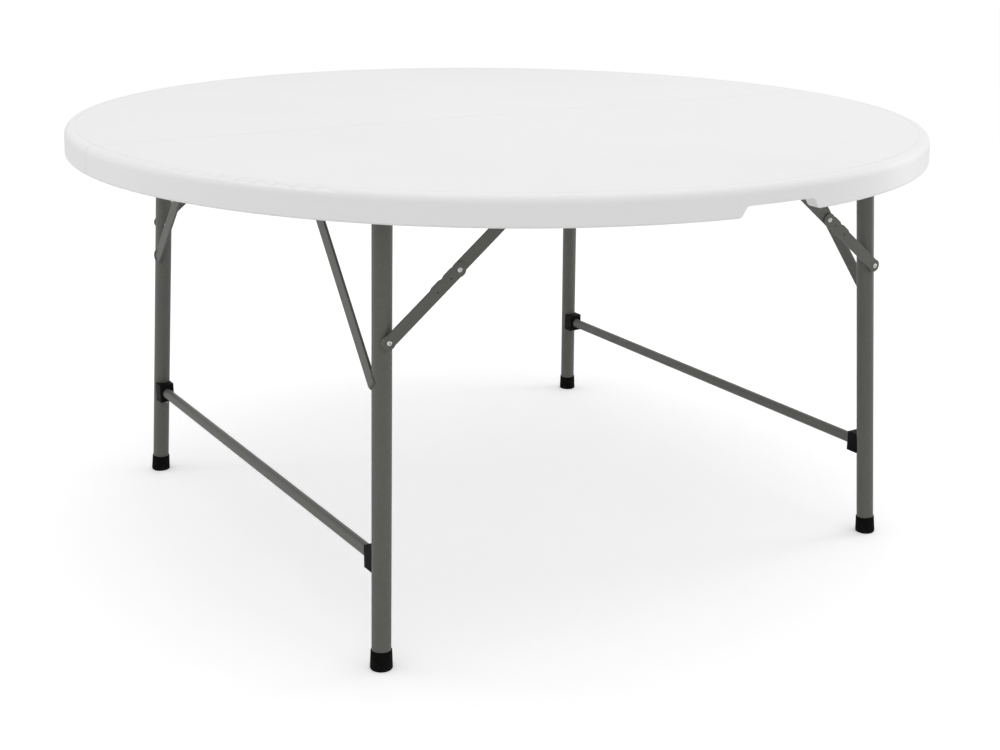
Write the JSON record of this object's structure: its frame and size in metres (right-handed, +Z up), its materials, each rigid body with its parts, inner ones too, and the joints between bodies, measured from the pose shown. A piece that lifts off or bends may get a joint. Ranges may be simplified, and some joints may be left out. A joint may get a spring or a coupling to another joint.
{
  "type": "round folding table",
  "caption": "Large round white plastic table in two half tops on grey steel tube leg frames that fold flat under it with hinged brace arms.",
  "frame": {"origin": "on the floor under the centre of the round top, midway between the feet", "axes": "+Z up; +X along the seam between the two half tops, towards the right leg frame; +Y towards the rear half top"},
  "size_m": [1.4998, 1.4984, 0.74],
  "materials": {
    "white_plastic": "fine moulded texture",
    "grey_powder_coat": "satin powder coat",
    "black_plastic": "moulded",
    "black_rubber": "moulded",
    "zinc_steel": "zinc plated"
  },
  "bodies": {
    "top": {"front_half_top": "white_plastic", "rear_half_top": "white_plastic", "front_side_rail": "grey_powder_coat", "rear_side_rail": "grey_powder_coat", "front_pivot_brackets": "grey_powder_coat", "rear_pivot_brackets": "grey_powder_coat", "pivot_bushes": "black_plastic", "rail_screws": "zinc_steel", "bracket_screws": "zinc_steel", "front_hinge_leaves": "zinc_steel", "rear_hinge_leaves": "zinc_steel", "seam_hinge_pins": "zinc_steel", "hinge_screws": "zinc_steel", "brace_pivot_rivets": "zinc_steel"},
    "left_frame": {"left_front_leg": "grey_powder_coat", "left_rear_leg": "grey_powder_coat", "left_front_pivot_tube": "grey_powder_coat", "left_rear_pivot_tube": "grey_powder_coat", "left_front_diagonal": "grey_powder_coat", "left_rear_diagonal": "grey_powder_coat", "left_front_foot": "black_rubber", "left_rear_foot": "black_rubber", "left_stretcher": "grey_powder_coat", "left_stretcher_saddles": "black_plastic", "left_saddle_screws": "zinc_steel", "left_leg_rivets": "zinc_steel"},
    "left_front_lower_arm": {"left_front_lower_arm": "grey_powder_coat", "left_front_knee_rivet": "zinc_steel"},
    "left_front_upper_arm": {"left_front_upper_arm": "grey_powder_coat"},
    "left_rear_lower_arm": {"left_rear_lower_arm": "grey_powder_coat", "left_rear_knee_rivet": "zinc_steel"},
    "left_rear_upper_arm": {"left_rear_upper_arm": "grey_powder_coat"},
    "right_frame": {"right_front_leg": "grey_powder_coat", "right_rear_leg": "grey_powder_coat", "right_front_pivot_tube": "grey_powder_coat", "right_rear_pivot_tube": "grey_powder_coat", "right_front_diagonal": "grey_powder_coat", "right_rear_diagonal": "grey_powder_coat", "right_front_foot": "black_rubber", "right_rear_foot": "black_rubber", "right_stretcher": "grey_powder_coat", "right_stretcher_saddles": "black_plastic", "right_saddle_screws": "zinc_steel", "right_leg_rivets": "zinc_steel"},
    "right_front_lower_arm": {"right_front_lower_arm": "grey_powder_coat", "right_front_knee_rivet": "zinc_steel"},
    "right_front_upper_arm": {"right_front_upper_arm": "grey_powder_coat"},
    "right_rear_lower_arm": {"right_rear_lower_arm": "grey_powder_coat", "right_rear_knee_rivet": "zinc_steel"},
    "right_rear_upper_arm": {"right_rear_upper_arm": "grey_powder_coat"}
  },
  "joints": [
    {"name": "left_frame_fold", "type": "hinge", "parent": "top", "child": "left_frame", "pos_m": [-0.4482, 0, 0.706], "axis": [0, -1, 0], "range_deg": [0, 83]},
    {"name": "left_front_upper_arm_swing", "type": "hinge", "parent": "top", "child": "left_front_upper_arm", "pos_m": [-0.22848, -0.46544, 0.704], "axis": [0, 1, 0], "range_deg": [0, 36.12]},
    {"name": "left_front_lower_arm_swing", "type": "hinge", "parent": "left_frame", "child": "left_front_lower_arm", "pos_m": [-0.47562, -0.46874, 0.506], "axis": [0, -1, 0], "range_deg": [0, 41.92]},
    {"name": "left_rear_upper_arm_swing", "type": "hinge", "parent": "top", "child": "left_rear_upper_arm", "pos_m": [-0.22848, 0.46544, 0.704], "axis": [0, 1, 0], "range_deg": [0, 36.12]},
    {"name": "left_rear_lower_arm_swing", "type": "hinge", "parent": "left_frame", "child": "left_rear_lower_arm", "pos_m": [-0.47562, 0.46874, 0.506], "axis": [0, -1, 0], "range_deg": [0, 41.92]},
    {"name": "right_frame_fold", "type": "hinge", "parent": "top", "child": "right_frame", "pos_m": [0.4482, 0, 0.706], "axis": [0, 1, 0], "range_deg": [0, 91]},
    {"name": "right_front_upper_arm_swing", "type": "hinge", "parent": "top", "child": "right_front_upper_arm", "pos_m": [0.22848, -0.47544, 0.704], "axis": [0, -1, 0], "range_deg": [0, 36.3]},
    {"name": "right_front_lower_arm_swing", "type": "hinge", "parent": "right_frame", "child": "right_front_lower_arm", "pos_m": [0.47562, -0.47874, 0.506], "axis": [0, 1, 0], "range_deg": [0, 44.56]},
    {"name": "right_rear_upper_arm_swing", "type": "hinge", "parent": "top", "child": "right_rear_upper_arm", "pos_m": [0.22848, 0.47544, 0.704], "axis": [0, -1, 0], "range_deg": [0, 36.3]},
    {"name": "right_rear_lower_arm_swing", "type": "hinge", "parent": "right_frame", "child": "right_rear_lower_arm", "pos_m": [0.47562, 0.47874, 0.506], "axis": [0, 1, 0], "range_deg": [0, 44.56]}
  ],
  "couplings": [
    {"joint": "left_front_upper_arm_swing", "follows": "left_frame_fold", "ratio": 0.43511},
    {"joint": "left_front_lower_arm_swing", "follows": "left_frame_fold", "ratio": 0.50499},
    {"joint": "left_rear_upper_arm_swing", "follows": "left_frame_fold", "ratio": 0.43511},
    {"joint": "left_rear_lower_arm_swing", "follows": "left_frame_fold", "ratio": 0.50499},
    {"joint": "right_front_upper_arm_swing", "follows": "right_frame_fold", "ratio": 0.39886},
    {"joint": "right_front_lower_arm_swing", "follows": "right_frame_fold", "ratio": 0.48967},
    {"joint": "right_rear_upper_arm_swing", "follows": "right_frame_fold", "ratio": 0.39886},
    {"joint": "right_rear_lower_arm_swing", "follows": "right_frame_fold", "ratio": 0.48967}
  ]
}
